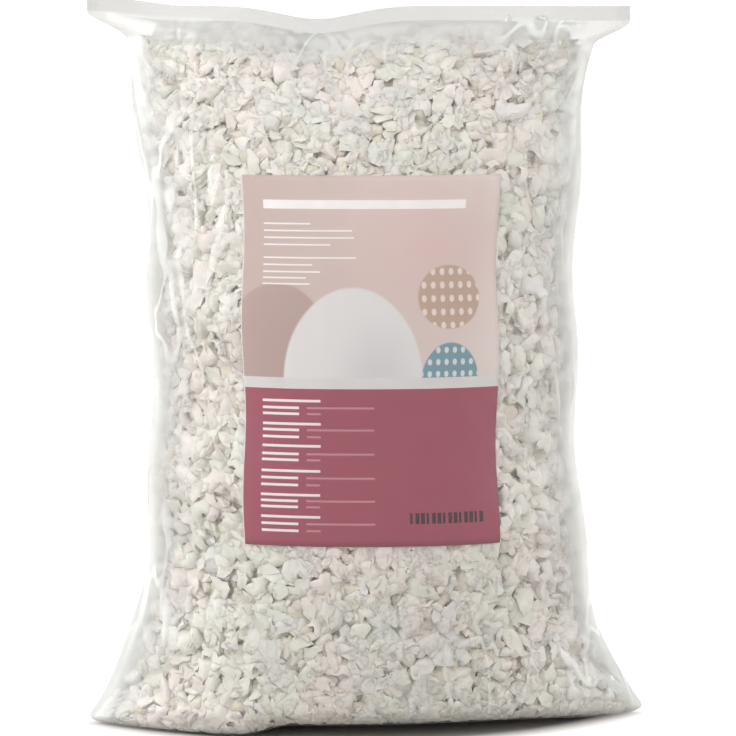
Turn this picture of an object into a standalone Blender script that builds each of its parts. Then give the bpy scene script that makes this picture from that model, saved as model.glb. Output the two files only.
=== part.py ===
"""A clear film bag of shredded foam flakes with a printed sheet behind its front film.

The bag is a tube of clear film, welded flat across its two ends and packed with foam flakes,
so that it stands by itself on its squashed base, with its corners pulled out to the sides.
Three pieces make it: the film bag, the mass of flakes and the printed sheet.

Metres, +Z up. The front with the printed sheet faces -Y, and the origin is on the floor, at
the middle of the base.
"""

import math
import random

import bmesh
import bpy
from mathutils import Matrix, Vector

# The film bag
BAG_HEIGHT = 0.588  # floor to the upper edge of the top weld, before its waves
FLAT_WIDTH = 0.442  # length of the top weld, the width of the film tube laid flat
WAIST_WIDTH = 0.346  # between the side creases, half way up
SHOULDER_WIDTH = 0.382  # between the side creases, just below the top corners
FOOT_WIDTH = 0.474  # what the spread of the bottom corners would reach at the floor
BELLY_DEPTH = 0.228  # front to back at the fullest height
BASE_DEPTH = 0.200  # front to back at the base, before its edge is rounded
BASE_EDGE_RADIUS = 0.022  # rounding of the front and back edges of the base
FOOT_TIP_HEIGHT = 0.010  # height of the tips of the bottom corners
FOOT_TIP_UNDERCUT = 0.026  # from a tip in to where the bag meets the floor
FOOT_FLARE = 0.070  # height in which the spread at the base falls to a third
SHOULDER_FLARE = 0.085  # the same for the spread at the shoulders
CORNER_DROP = 0.020  # from the top weld down to the shoulders
WELD_HEIGHT = 0.012  # width of the welded strip
WELD_BEAD = 0.001  # height of the film that has run together below the strip
FILM = 0.0001  # thickness of the film
DEPTH_TAPER = 5.0  # the two powers by which the depth closes towards the top weld
DEPTH_ROUNDING = 0.8

# Cross-sections are superellipses: these are the powers of their cosine and sine
ROUNDNESS = 0.84
PINCH_MIDDLE = 1.35
PINCH_FOOT = 1.75
PINCH_TOP = 1.65

# How the filled bag sits
LEAN = 0.008  # how far the top stands to the left of the base
FOOT_TWIST = math.radians(6)  # turn of the base that brings its left corner to the front
WELD_WAVE = 0.006  # sway of the top weld to the front and back
WELD_WAVE_LENGTH = 0.260
WELD_WAVE_REACH = 0.120  # how far down that sway dies out
WELD_DIP = 0.0105  # the sagging place in the top weld
WELD_DIP_X = -0.033
WELD_DIP_WIDTH = 0.042
EAR_LIFT = 0.008  # how far the left top corner stands up
EAR_LENGTH = 0.085
SIDE_DENT = 0.0025  # in and out wander of the side creases
SIDE_DENT_LENGTH = 0.145

# Folds in the film
PLEAT_DEPTH = 0.0050  # of the folds that fan out from each corner
PLEAT_REACH = 0.150
PLEAT_START = 0.050  # how far from its corner a fold is fully open
PLEAT_COUNT = 9  # folds in a full turn about a corner
GATHER_DEPTH = 0.0026  # of the upright folds below the top weld
GATHER_PITCH = 0.064
GATHER_REACH = 0.100
FOLD_FADE = 0.022  # in which folds die out towards the base, the weld and the creases
FOLD_ROOM = 1.4  # room kept free for the folds, as a multiple of their depth

# The air holes in the back film
VENT_DIAMETER = 0.006
VENT_COUNT = 3
VENT_PITCH = 0.060
VENT_HEIGHT = 0.480
VENT_SIDES = 12

# The printed sheet, A4, tucked in behind the front film
SHEET_WIDTH = 0.210
SHEET_HEIGHT = 0.297
SHEET_THICKNESS = 0.0002
SHEET_CENTRE_X = 0.0065
SHEET_BOTTOM = 0.160
PRINT_MARGIN = 0.003  # unprinted edge at the sides and the foot
PRINT_SPLIT = 0.127  # top of the dark field, up from the foot of the sheet

# The flakes
FLAKE_SIZE = 0.0150  # spacing of the flakes in the outer layer
FLAKE_RELIEF = 0.0070  # greatest depth of the gaps between flakes
FLAKE_SHARE = 0.62  # share of the surface that is flakes and not gaps
FLAKE_STRAY = 0.30  # how far a flake strays from an even spacing, as a share of it
SIDE_SLACK = 0.013  # empty film between the flakes and each side crease
HEADROOM = 0.016  # empty film between the flakes and the top weld
FILL_PINCH_CUT = 0.25  # how much rounder the packed flakes are than the film
FLAKE_SEED = 7

# Fits
CLEARANCE = 0.0003  # between pieces that rest on each other
FACET_ROOM = 0.0005  # how far a flat facet may fall short of the curved film

# Fineness of the surfaces
FILM_AROUND = 56
FILM_EDGE_STEPS = 4
FILM_BODY_STEPS = 20
FILM_EAR_STEPS = 2
SHEET_COLUMNS = 10
SHEET_DARK_ROWS = 5
SHEET_PALE_ROWS = 7
MEASURING_STEPS = 120

WELD_BOTTOM = BAG_HEIGHT - WELD_HEIGHT
SHOULDER_HEIGHT = WELD_BOTTOM - CORNER_DROP
AT_CREASE = 1e-6  # sine of an angle below which a point is on a side crease
FILL_BOTTOM = FILM + CLEARANCE
FILL_TOP = WELD_BOTTOM - HEADROOM
SHEET_INSET = FILM + CLEARANCE + FACET_ROOM


def smooth(share):
    """A share from 0 to 1, eased at both ends."""
    share = min(1.0, max(0.0, share))
    return share * share * (3 - 2 * share)


def steps_between(low, high, count):
    """Evenly spaced values after the low one, up to the high one."""
    return [low + (high - low) * (step + 1) / count for step in range(count)]


def rounding(height, radius):
    """How far a quarter circle of this radius still falls short at a height, as a share."""
    if height >= radius:
        return 0.0
    return 1 - math.sqrt(1 - (1 - max(0.0, height) / radius) ** 2)


def half_width(height, floor=0.0):
    """Half the distance between the side creases."""
    foot = (FOOT_WIDTH - WAIST_WIDTH) / 2 * math.exp(-height / FOOT_FLARE)
    below_shoulder = min(0.0, height - SHOULDER_HEIGHT)
    shoulder = (SHOULDER_WIDTH - WAIST_WIDTH) / 2 * math.exp(below_shoulder / SHOULDER_FLARE)
    ear = (FLAT_WIDTH - SHOULDER_WIDTH) / 2 * smooth((height - SHOULDER_HEIGHT) / CORNER_DROP)
    undercut = FOOT_TIP_UNDERCUT * rounding(height - floor, FOOT_TIP_HEIGHT)
    return WAIST_WIDTH / 2 + foot + shoulder + ear - undercut


def half_depth(height, floor=0.0):
    """Half the distance between the front and back film, down to the two films at the weld."""
    closing = (1 - min(1.0, height / WELD_BOTTOM) ** DEPTH_TAPER) ** DEPTH_ROUNDING
    foot = (BELLY_DEPTH - BASE_DEPTH) / 2 * math.exp(-height / FOOT_FLARE)
    edge = BASE_EDGE_RADIUS * rounding(height - floor, BASE_EDGE_RADIUS)
    return max(FILM, BELLY_DEPTH / 2 * closing - foot - edge)


def pinch(height):
    """Power that draws the cross-section to a crease at its two sides."""
    foot = (PINCH_FOOT - PINCH_MIDDLE) * math.exp(-height / FOOT_FLARE)
    top = (PINCH_TOP - PINCH_MIDDLE) * smooth(1 - (WELD_BOTTOM - height) / WELD_WAVE_REACH)
    return PINCH_MIDDLE + foot + top


def section_point(angle, height, inset_x=0.0, inset_y=0.0, less_pinch=0.0, floor=0.0):
    """A point of the even, upright bag at a height, moved in from the film by two insets."""
    width = half_width(height, floor) - inset_x
    depth = max(0.0, half_depth(height, floor) - inset_y)
    cosine, sine = math.cos(angle), math.sin(angle)
    x = width * math.copysign(abs(cosine) ** ROUNDNESS, cosine)
    if abs(sine) < AT_CREASE:
        return Vector((x, 0.0, height))
    y = max(FILM, depth * abs(sine) ** (pinch(height) - less_pinch))
    return Vector((x, math.copysign(y, sine), height))


def angle_at(x, height):
    """The angle at which the back of the cross-section passes a sideways place."""
    cosine = min(1.0, abs(x) / half_width(height)) ** (1 / ROUNDNESS)
    return math.acos(math.copysign(cosine, x))


def settle(point):
    """Bends the even bag into the way the filled one sits. Every piece goes through it."""
    x, y, z = point
    near_top = smooth(1 - (BAG_HEIGHT - z) / WELD_WAVE_REACH)
    wave = WELD_WAVE * math.sin(2 * math.pi * x / WELD_WAVE_LENGTH)
    dip = WELD_DIP * math.exp(-(((x - WELD_DIP_X) / WELD_DIP_WIDTH) ** 2))
    lift = EAR_LIFT * smooth(1 - (x + FLAT_WIDTH / 2) / EAR_LENGTH)
    side = x / half_width(z)
    dent = SIDE_DENT * math.sin(2 * math.pi * z / SIDE_DENT_LENGTH + side)
    dent *= smooth(z / FOOT_FLARE) * smooth((WELD_BOTTOM - z) / CORNER_DROP)
    x += side * dent + LEAN * (0.5 - z / BAG_HEIGHT)
    y += near_top * wave
    z += near_top * (lift - dip)
    turn = FOOT_TWIST * math.exp(-z / FOOT_FLARE)
    return Matrix.Rotation(turn, 3, "Z") @ Vector((x, y, z))


def fold_freedom(height):
    """0 at the flat base and at the weld, 1 where the film is free to fold."""
    return smooth(height / FOLD_FADE) * smooth((WELD_BOTTOM - height) / FOLD_FADE)


def corner_places():
    """The four corners of the even bag, as (x, z, a number that sets its folds apart)."""
    foot = half_width(FOOT_TIP_HEIGHT)
    shoulder = half_width(SHOULDER_HEIGHT)
    low, high = FOOT_TIP_HEIGHT, SHOULDER_HEIGHT
    return [(-foot, low, 0.0), (foot, low, 1.0), (-shoulder, high, 2.0), (shoulder, high, 3.0)]


def fold_depth(x, height):
    """The greatest depth that folds may have at a place."""
    fans = sum(
        smooth(1 - math.hypot(x - corner_x, height - corner_z) / PLEAT_REACH)
        for corner_x, corner_z, _ in corner_places()
    )
    gathers = smooth(1 - (WELD_BOTTOM - height) / GATHER_REACH)
    return fold_freedom(height) * (PLEAT_DEPTH * min(1.0, fans) + GATHER_DEPTH * gathers)


def fold_height(x, height, side):
    """How far folds lift the film at a place: fans at the corners, gathers below the weld."""
    fans = 0.0
    for corner_x, corner_z, number in corner_places():
        away = math.hypot(x - corner_x, height - corner_z)
        turn = math.atan2(height - corner_z, x - corner_x)
        wave = math.cos(PLEAT_COUNT * turn + number + side)
        fans += smooth(1 - away / PLEAT_REACH) * smooth(away / PLEAT_START) * wave
    gathers = smooth(1 - (WELD_BOTTOM - height) / GATHER_REACH)
    gathers *= math.cos(2 * math.pi * x / GATHER_PITCH + side)
    fans = max(-1.0, min(1.0, fans))
    return fold_freedom(height) * (PLEAT_DEPTH * fans + GATHER_DEPTH * gathers)


def outer_skin_point(angle, height):
    """A point of the outer skin of the film, with its folds."""
    point = section_point(angle, height)
    side = math.copysign(1.0, math.sin(angle))
    room = smooth(abs(point.y) / FOLD_FADE)
    point.y += side * room * fold_height(point.x, height, side)
    return settle(point)


def inner_skin_point(angle, height):
    """A point of the inner skin: a film further in, or less where the films lie together."""
    outer = section_point(angle, height)
    up = FILM * rounding(height, BASE_EDGE_RADIUS)
    if outer.y == 0.0:
        beside_crease = section_point(2 * math.pi / FILM_AROUND, height)
        pressed = (abs(outer.x) - beside_crease.x) / 2
        inward = Vector((-math.copysign(pressed, outer.x), 0.0, up))
    else:
        across = math.copysign(min(FILM, abs(outer.y) / 2), outer.y)
        inward = Vector((-FILM * math.cos(angle), -across, up))
    return outer_skin_point(angle, height) + inward


def add_loft(shape, rings, inside_out=False):
    """Skins closed rings of points, and zips the first and the last shut, front to back."""
    loops = [[shape.verts.new(point) for point in ring] for ring in rings]
    count = len(loops[0])
    faces = []
    for level, (lower, upper) in enumerate(zip(loops, loops[1:])):
        for i in range(count):
            j = (i + 1) % count
            if (level + i) % 2:
                faces += [[lower[i], lower[j], upper[j]], [lower[i], upper[j], upper[i]]]
            else:
                faces += [[lower[i], lower[j], upper[i]], [lower[j], upper[j], upper[i]]]
    for ring, is_bottom in ((loops[0], True), (loops[-1], False)):
        for i in range(count // 2):
            face = [ring[i], ring[i + 1], ring[-i - 1], ring[-i]]
            face = list(dict.fromkeys(face))
            faces.append(face[::-1] if is_bottom else face)
    for face in faces:
        shape.faces.new(face[::-1] if inside_out else face)


def finish_piece(name, shape, materials):
    """Turns a bmesh into a named object with its materials."""
    mesh = bpy.data.meshes.new(name)
    shape.to_mesh(mesh)
    shape.free()
    for material in materials:
        mesh.materials.append(material)
    piece = bpy.data.objects.new(name, mesh)
    bpy.context.scene.collection.objects.link(piece)
    return piece


def make_material(name, colour, roughness, alpha=1.0):
    """A plain surface of one colour."""
    material = bpy.data.materials.new(name)
    material.use_nodes = True
    shader = material.node_tree.nodes["Principled BSDF"]
    shader.inputs["Base Color"].default_value = (*colour, 1.0)
    shader.inputs["Roughness"].default_value = roughness
    shader.inputs["Metallic"].default_value = 0.0
    shader.inputs["Alpha"].default_value = alpha
    return material


def film_heights():
    """Heights of the film's cross-sections below the weld, closest at the base and the top."""
    edge = [
        BASE_EDGE_RADIUS * (1 - math.cos(math.pi / 2 * step / FILM_EDGE_STEPS))
        for step in range(FILM_EDGE_STEPS)
    ]
    body = []
    for step in range(FILM_BODY_STEPS + 1):
        share = step / FILM_BODY_STEPS
        share = (share + (1 - math.cos(math.pi * share)) / 2) / 2
        body.append(BASE_EDGE_RADIUS + (SHOULDER_HEIGHT - BASE_EDGE_RADIUS) * share)
    ears = steps_between(SHOULDER_HEIGHT, WELD_BOTTOM - WELD_BEAD, FILM_EAR_STEPS)
    return [*edge, *body, *ears]


def make_vent_cutter(number):
    """A short rod through the back film, for one of its air holes."""
    x = (number - (VENT_COUNT - 1) / 2) * VENT_PITCH
    place = outer_skin_point(angle_at(x, VENT_HEIGHT), VENT_HEIGHT)
    shape = bmesh.new()
    bmesh.ops.create_cone(
        shape,
        cap_ends=True,
        segments=VENT_SIDES,
        radius1=VENT_DIAMETER / 2,
        radius2=VENT_DIAMETER / 2,
        depth=2 * VENT_DIAMETER,
        matrix=Matrix.Translation(place) @ Matrix.Rotation(math.pi / 2, 4, "X"),
    )
    cutter = finish_piece(f"vent_cutter_{number + 1}", shape, [])
    cutter.hide_render = True
    cutter.display_type = "WIRE"
    return cutter


def make_film_bag(film):
    """The clear film: an outer and an inner skin that meet in the weld, and the air holes."""
    angles = [2 * math.pi * i / FILM_AROUND for i in range(FILM_AROUND)]
    heights = film_heights()
    shape = bmesh.new()
    outer = [
        [outer_skin_point(angle, height) for angle in angles]
        for height in [*heights, WELD_BOTTOM, BAG_HEIGHT]
    ]
    inner = [[inner_skin_point(angle, height) for angle in angles] for height in heights]
    add_loft(shape, outer)
    add_loft(shape, inner, inside_out=True)
    bag = finish_piece("film_bag", shape, [film])
    bag.data.shade_smooth()
    bag.data.set_sharp_from_angle(angle=math.radians(60))
    for number in range(VENT_COUNT):
        cut = bag.modifiers.new(f"vent_{number + 1}", "BOOLEAN")
        cut.operation = "DIFFERENCE"
        cut.solver = "EXACT"
        cut.object = make_vent_cutter(number)


def even_angles(count, height):
    """Angles of points that lie evenly spaced around the cross-section at a height."""
    steps = count * MEASURING_STEPS
    fine = [2 * math.pi * step / steps for step in range(steps + 1)]
    points = [section_point(angle, height) for angle in fine]
    lengths = [0.0]
    for here, there in zip(points, points[1:]):
        lengths.append(lengths[-1] + (there - here).length)
    angles = []
    for i in range(count):
        wanted = lengths[-1] * i / count
        step = next(step for step, length in enumerate(lengths) if length >= wanted)
        angles.append(fine[step])
    return angles


def is_behind_sheet(x, y, height):
    """Whether a place of the flakes lies behind the printed sheet, or within a flake of it."""
    beside = abs(x - SHEET_CENTRE_X) - SHEET_WIDTH / 2
    below = SHEET_BOTTOM - height
    above = height - (SHEET_BOTTOM + SHEET_HEIGHT)
    return y < 0 and max(beside, below, above) < FLAKE_SIZE


def flake_point(angle, height, gap):
    """A point of the flakes' surface: just inside the film, or as deep as a gap goes."""
    rough = section_point(angle, height, SIDE_SLACK)
    folds = FOLD_ROOM * fold_depth(rough.x, height)
    inset = FILM + CLEARANCE + FACET_ROOM + folds + gap
    if is_behind_sheet(*rough):
        inset += SHEET_THICKNESS + CLEARANCE + FACET_ROOM
    side = SIDE_SLACK + gap
    return settle(section_point(angle, height, side, inset, FILL_PINCH_CUT, FILL_BOTTOM))


def make_foam_flakes(foam):
    """The packed flakes, fused into one mass with a flake-sized relief."""
    dice = random.Random(FLAKE_SEED)
    middle = BAG_HEIGHT / 2
    girth = 2 * math.pi * math.hypot(half_width(middle), half_depth(middle)) / math.sqrt(2)
    around = 2 * round(girth / FLAKE_SIZE / 2)
    levels = round((FILL_TOP - FILL_BOTTOM) / FLAKE_SIZE)
    angles = even_angles(around, middle)
    spacing = (FILL_TOP - FILL_BOTTOM) / levels
    rings = []
    for level in range(levels + 1):
        is_end = level in (0, levels)
        ring = []
        for angle in angles:
            drift = dice.uniform(-FLAKE_STRAY, FLAKE_STRAY)
            rise = dice.uniform(-FLAKE_STRAY, FLAKE_STRAY)
            is_gap = dice.random() > FLAKE_SHARE
            depth = dice.uniform(0.6, 1.0) if is_gap else dice.uniform(0.0, 0.15)
            if is_end:
                drift, rise, depth = 0.0, 0.0, 0.0
            turned = angle + drift * 2 * math.pi / around
            height = FILL_BOTTOM + (level + rise) * spacing
            ring.append(flake_point(turned, height, depth * FLAKE_RELIEF))
        rings.append(ring)
    shape = bmesh.new()
    add_loft(shape, rings)
    finish_piece("foam_flakes", shape, [foam])


def places_along(route, wanted):
    """Points of a route of closely spaced points, at distances measured along it."""
    places = []
    length = 0.0
    wanted = list(wanted)
    for here, there in zip(route, route[1:]):
        step = (there - here).length
        while wanted and wanted[0] <= length + step:
            places.append(here.lerp(there, (wanted.pop(0) - length) / step))
        length += step
    return places + [route[-1]] * len(wanted)


def front_route(height, inset):
    """Closely spaced points along the front film, from its left side to its right side."""
    steps = [step / MEASURING_STEPS for step in range(1, MEASURING_STEPS)]
    return [section_point(math.pi + math.pi * share, height, 0.0, inset) for share in steps]


def sheet_grid(inset):
    """Rows of points of the curved sheet, spaced by its flat size along both its edges."""
    rows = [0.0, PRINT_MARGIN]
    rows += steps_between(PRINT_MARGIN, PRINT_SPLIT, SHEET_DARK_ROWS)
    rows += steps_between(PRINT_SPLIT, SHEET_HEIGHT, SHEET_PALE_ROWS)
    columns = [0.0, PRINT_MARGIN]
    columns += steps_between(PRINT_MARGIN, SHEET_WIDTH - PRINT_MARGIN, SHEET_COLUMNS)
    columns += [SHEET_WIDTH]
    climb = SHOULDER_HEIGHT - SHEET_BOTTOM
    spine = [
        section_point(-math.pi / 2, SHEET_BOTTOM + climb * step / MEASURING_STEPS)
        for step in range(MEASURING_STEPS + 1)
    ]
    heights = [place.z for place in places_along(spine, rows)]
    grid = []
    for height in heights:
        route = front_route(height, inset)
        length = sum((there - here).length for here, there in zip(route, route[1:]))
        start = length / 2 - SHEET_WIDTH / 2 + SHEET_CENTRE_X
        row = places_along(route, [start + column for column in columns])
        for place in row:
            place.y += fold_depth(place.x, height)
        grid.append([settle(place) for place in row])
    return grid


def make_front_sheet(paper, pale_print, dark_print):
    """The printed sheet, curved as the front film is, with its two printed fields."""
    front = sheet_grid(SHEET_INSET)
    back = sheet_grid(SHEET_INSET + SHEET_THICKNESS)
    shape = bmesh.new()
    front = [[shape.verts.new(place) for place in row] for row in front]
    back = [[shape.verts.new(place) for place in row] for row in back]
    last_row, last_column = len(front) - 1, len(front[0]) - 1
    for r in range(last_row):
        for c in range(last_column):
            face = shape.faces.new(
                [front[r][c], front[r][c + 1], front[r + 1][c + 1], front[r + 1][c]]
            )
            in_margin = r == 0 or c in (0, last_column - 1)
            face.material_index = 0 if in_margin else (2 if r <= SHEET_DARK_ROWS else 1)
            shape.faces.new([back[r + 1][c], back[r + 1][c + 1], back[r][c + 1], back[r][c]])
    for c in range(last_column):
        shape.faces.new([front[0][c + 1], front[0][c], back[0][c], back[0][c + 1]])
        top_front, top_back = front[last_row], back[last_row]
        shape.faces.new([top_front[c], top_front[c + 1], top_back[c + 1], top_back[c]])
    for r in range(last_row):
        shape.faces.new([front[r][0], front[r + 1][0], back[r + 1][0], back[r][0]])
        c = last_column
        shape.faces.new([front[r + 1][c], front[r][c], back[r][c], back[r + 1][c]])
    sheet = finish_piece("front_sheet", shape, [paper, pale_print, dark_print])
    sheet.data.shade_smooth()
    sheet.data.set_sharp_from_angle(angle=math.radians(40))


def main():
    for old in list(bpy.data.objects):
        bpy.data.objects.remove(old, do_unlink=True)
    film = make_material("clear_film", (0.90, 0.91, 0.90), 0.12, alpha=0.25)
    foam = make_material("foam", (0.76, 0.73, 0.68), 0.85)
    paper = make_material("paper", (0.82, 0.80, 0.78), 0.45)
    pale_print = make_material("pale_print", (0.66, 0.52, 0.49), 0.40)
    dark_print = make_material("dark_print", (0.31, 0.09, 0.12), 0.40)
    make_film_bag(film)
    make_foam_flakes(foam)
    make_front_sheet(paper, pale_print, dark_print)


main()
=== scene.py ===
import math
import random

import bmesh
import bpy
import numpy as np
from mathutils import Euler, Matrix, Vector
from mathutils.bvhtree import BVHTree


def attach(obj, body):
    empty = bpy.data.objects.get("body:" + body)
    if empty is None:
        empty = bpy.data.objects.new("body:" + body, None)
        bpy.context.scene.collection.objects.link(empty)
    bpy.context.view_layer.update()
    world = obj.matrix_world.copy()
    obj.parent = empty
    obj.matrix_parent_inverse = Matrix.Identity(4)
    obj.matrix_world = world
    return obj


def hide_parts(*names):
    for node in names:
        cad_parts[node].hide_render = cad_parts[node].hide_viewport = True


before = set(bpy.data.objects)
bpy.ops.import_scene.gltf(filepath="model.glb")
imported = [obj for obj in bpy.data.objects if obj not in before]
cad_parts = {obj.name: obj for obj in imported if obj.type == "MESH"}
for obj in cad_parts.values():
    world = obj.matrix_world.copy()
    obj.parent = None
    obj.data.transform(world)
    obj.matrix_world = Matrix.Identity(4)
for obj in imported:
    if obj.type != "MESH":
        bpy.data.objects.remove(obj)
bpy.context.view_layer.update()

# The even bag, as in the part's source: metres, front towards -Y
BAG_HEIGHT = 0.588
FLAT_WIDTH = 0.442
WAIST_WIDTH = 0.346
SHOULDER_WIDTH = 0.382
FOOT_WIDTH = 0.474
BELLY_DEPTH = 0.228
BASE_DEPTH = 0.200
BASE_EDGE_RADIUS = 0.022
FOOT_TIP_HEIGHT = 0.010
FOOT_TIP_UNDERCUT = 0.026
FOOT_FLARE = 0.070
SHOULDER_FLARE = 0.085
CORNER_DROP = 0.020
WELD_HEIGHT = 0.012
FILM = 0.0001
DEPTH_TAPER = 5.0
DEPTH_ROUNDING = 0.8
ROUNDNESS = 0.84
PINCH_MIDDLE = 1.35
PINCH_FOOT = 1.75
PINCH_TOP = 1.65

# How the filled bag sits, as in the part's source
LEAN = 0.008
FOOT_TWIST = math.radians(6)
WELD_WAVE = 0.006
WELD_WAVE_LENGTH = 0.260
WELD_WAVE_REACH = 0.120
WELD_DIP = 0.0105
WELD_DIP_X = -0.033
WELD_DIP_WIDTH = 0.042
EAR_LIFT = 0.008
EAR_LENGTH = 0.085
SIDE_DENT = 0.0025
SIDE_DENT_LENGTH = 0.145

# The front right edge of the base, curled up off the floor
BASE_CURL = 0.010
BASE_CURL_START = -0.115
BASE_CURL_RUN_RIGHT = 0.045
BASE_CURL_RUN_FRONT = 0.085
BASE_CURL_REACH = 0.030

# Folds in the film, as in the part's source
PLEAT_DEPTH = 0.0050
PLEAT_REACH = 0.150
PLEAT_START = 0.050
PLEAT_COUNT = 9
GATHER_DEPTH = 0.0026
GATHER_PITCH = 0.064
GATHER_REACH = 0.100
FOLD_FADE = 0.022

# Small wrinkles, finer than those of the part's source
FINE_FAN_REACH = 0.20
FINE_FAN_START = 0.03
FINE_FANS = (
    # depth, count, by corner, by side, twist
    (0.0014, 23, 2, -1, 14),
    (0.0008, 41, 1, 1, -25),
)
FINE_GATHER_DEPTH = 0.0012
FINE_GATHER_PITCH = 0.021
FINE_GATHER_WANDER = 4
FINE_GATHER_WANDER_RATE = 17
PUCKER_REACH = 0.030
PUCKERS = (
    # depth, pitch, by hand, wander, rate of wander
    (0.0018, 0.043, 3, 2, 31),
    (0.0012, 0.019, 1, 3, 23),
)
SHEET_BLEND = 0.020  # over this width the folds fade out towards the sheet

# The milky veil where the film lies double
VEIL_SHARE = 0.68
SIDE_VEIL_START = 0.005
SIDE_VEIL_REACH = 0.016
TOP_VEIL = 0.70
TOP_VEIL_REACH = 0.040
OFF_SHEET_REACH = 0.012

# The air holes in the back film
VENT_DIAMETER = 0.006
VENT_COUNT = 3
VENT_PITCH = 0.060
VENT_HEIGHT = 0.480
VENT_RIM = 0.0003  # radius of the rolled rim of each
VENT_RIM_AROUND = 24
VENT_RIM_ACROSS = 6

# The printed sheet
SHEET_WIDTH = 0.210
SHEET_HEIGHT = 0.297
SHEET_CENTRE_X = 0.0065
SHEET_BOTTOM = 0.160
SHEET_INSET = 0.0009
SHEET_THICKNESS = 0.0002
SHEET_ROWS = 160
SHEET_COLUMNS = 140
SHEET_CELL = 0.006  # widest cell of the sheet's mesh

# The print, in pixels of the photo
SHEET_WIDTH_PX = 262
SHEET_LEFT_PX = 240
SHEET_TOP_PX = 174
PRINT_LEFT_PX = 241
PRINT_RIGHT_PX = 504
PRINT_TOP_PX = 170
PRINT_BOTTOM_PX = 550
SHELF_TOP_PX = 376
SPLIT_PX = 387  # between the pale half and the dark half
LINE_LEFT_PX = 262
HEADING_TOP_PX = 199
HEADING_RIGHT_PX = 466
HEADING_BOTTOM_PX = 208
THIN_LINE_HALF_PX = 0.8
THIN_LINES_PX = (
    # height of the line and its right end
    (223, 310),
    (230, 352),
    (237, 354),
    (244, 330),
    (257, 356),
    (264, 312),
    (271, 320),
    (277, 306),
    (283, 310),
)
TEXT_LEFT_PX = 260
TEXT_RIGHT_PX = 298
TITLE_RIGHT_PX = 320
TEXT_HALF_PX = 1.3
NOTE_LEFT_PX = 306
LONG_NOTE_RIGHT_PX = 374
SHORT_NOTE_RIGHT_PX = 320
NOTE_HALF_PX = 1.0
TEXT_BLOCKS_PX = (
    # heights of three lines
    (399, 406, 412),
    (422, 428, 435),
    (444, 452, 458),
    (469, 476, 483),
    (493, 499, 505),
    (515, 522, 529),
)
BAR_COUNT = 14
BAR_LEFT_PX = 408
BAR_PITCH_PX = 5.5
BAR_WIDTH_PX = 4.0
THIN_BAR_WIDTH_PX = 2.6
BAR_TOP_PX = 511
BAR_BOTTOM_PX = 522
PIXEL = SHEET_WIDTH / SHEET_WIDTH_PX  # one pixel on the sheet, in metres
PICTURE = (
    # centre and radii in shares of the sheet, softness, colour, pitch and colour of dots
    ((0.72, 0.80), (0.5, 0.30), 0.9, (0.66, 0.50, 0.48), None),
    ((0.14, 0.54), (0.20, 0.17), 0.03, (0.46, 0.33, 0.31), None),
    ((0.43, 0.43), (0.27, 0.27), 0.03, (0.70, 0.68, 0.68), None),
    ((0.52, 0.42), (0.17, 0.21), 0.7, (0.62, 0.60, 0.61), None),
    ((0.80, 0.67), (0.125, 0.088), 0.05, (0.50, 0.36, 0.29), (0.036, (0.76, 0.66, 0.61))),
    ((0.80, 0.44), (0.115, 0.11), 0.04, (0.18, 0.31, 0.37), (0.032, (0.66, 0.68, 0.68))),
)
DOT_REACH = 0.30  # in shares of the pitch
DOT_EDGE = 0.08
PAPER, DARK, PALE, WHITE, SHELF, SOFT, BLACK = range(7)  # the sheet's materials in their order

WELD_BOTTOM = BAG_HEIGHT - WELD_HEIGHT
SHOULDER_HEIGHT = WELD_BOTTOM - CORNER_DROP

# The filling
SIDE_SLACK = 0.0065  # empty strip of film along the side creases
FILL_TOP = WELD_BOTTOM - 0.009
RELIEF_KEPT = 0.32  # share of a flake's relief that is left where the film presses on it
FILM_GAP = 0.0006
SHEET_GAP = 0.0016  # wider, where the sheet lies between
SHEET_MARGIN = 0.012
EAR_GAP_HEIGHT = 0.004
EAR_GAP_WIDTH = 0.024
PLACE_JITTER = 0.42  # in shares of the spacing
BASE_JITTER = 0.40
BASE_GRID_X = 0.2
BASE_GRID_Y = 0.09
BASE_FILL_X = 0.195  # half length and half width of the base that flakes cover
BASE_FILL_Y = 0.072
BASE_FILL_POWER_X = 2.38
BASE_FILL_POWER_Y = 1.2
FLAKE_SEED = 11
CORE_SEED = 5
CORE_AROUND = 200
CORE_LEVELS = 130
CORE_BOTTOM = 0.010
CORE_TOP = FILL_TOP - 0.006
CORE_INSET = 0.009
CORE_ROUGHNESS = 0.004

# Torn chips and crumbs of foam: each pair is the smallest and the largest
CHIP_ROWS = 8
CHIP_COLUMNS = 4
CHIP_LENGTH = (0.014, 0.027)
CHIP_WIDTH = (0.007, 0.013)
CHIP_THICKNESS = (0.0034, 0.0060)
CHIP_EDGE_THICKNESS = 0.35  # share of the thickness that is left at the edge
CHIP_CURL = (0.6, 3.6)
CHIP_CROSS_CURL = (0.15, 1.2)
CHIP_TWIST = 0.8
CHIP_BREADTH = (0.62, 1.28)
CHIP_SHIFT = 0.2
CHIP_JITTER_ALONG = 0.0009
CHIP_JITTER = 0.0006
CHUNK_SIZES = ((0.007, 0.012), (0.0045, 0.008), (0.003, 0.0055))
CHUNK_POINTS = (11, 15)
CHUNK_SPREAD = (0.85, 1.0)
CHUNK_JITTER = 0.0008
FOAM_TINTS = (
    (0.00, (0.81, 0.79, 0.765)),
    (0.22, (0.82, 0.80, 0.75)),
    (0.40, (0.84, 0.82, 0.80)),
    (0.58, (0.81, 0.765, 0.74)),
    (0.72, (0.83, 0.80, 0.77)),
    (0.86, (0.77, 0.785, 0.725)),
    (1.00, (0.80, 0.79, 0.80)),
)

# Fineness
FILM_AROUND = 240
FILM_UP = 190
WELD_ROWS = 4
ROW_EVENNESS = 0.6  # 1 for even rows, less for closer ones at the base and the top
PROFILE_STEPS = 900
RING_STEPS = 720
MOST_TRIANGLES = 185000  # in one object of flakes

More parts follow.
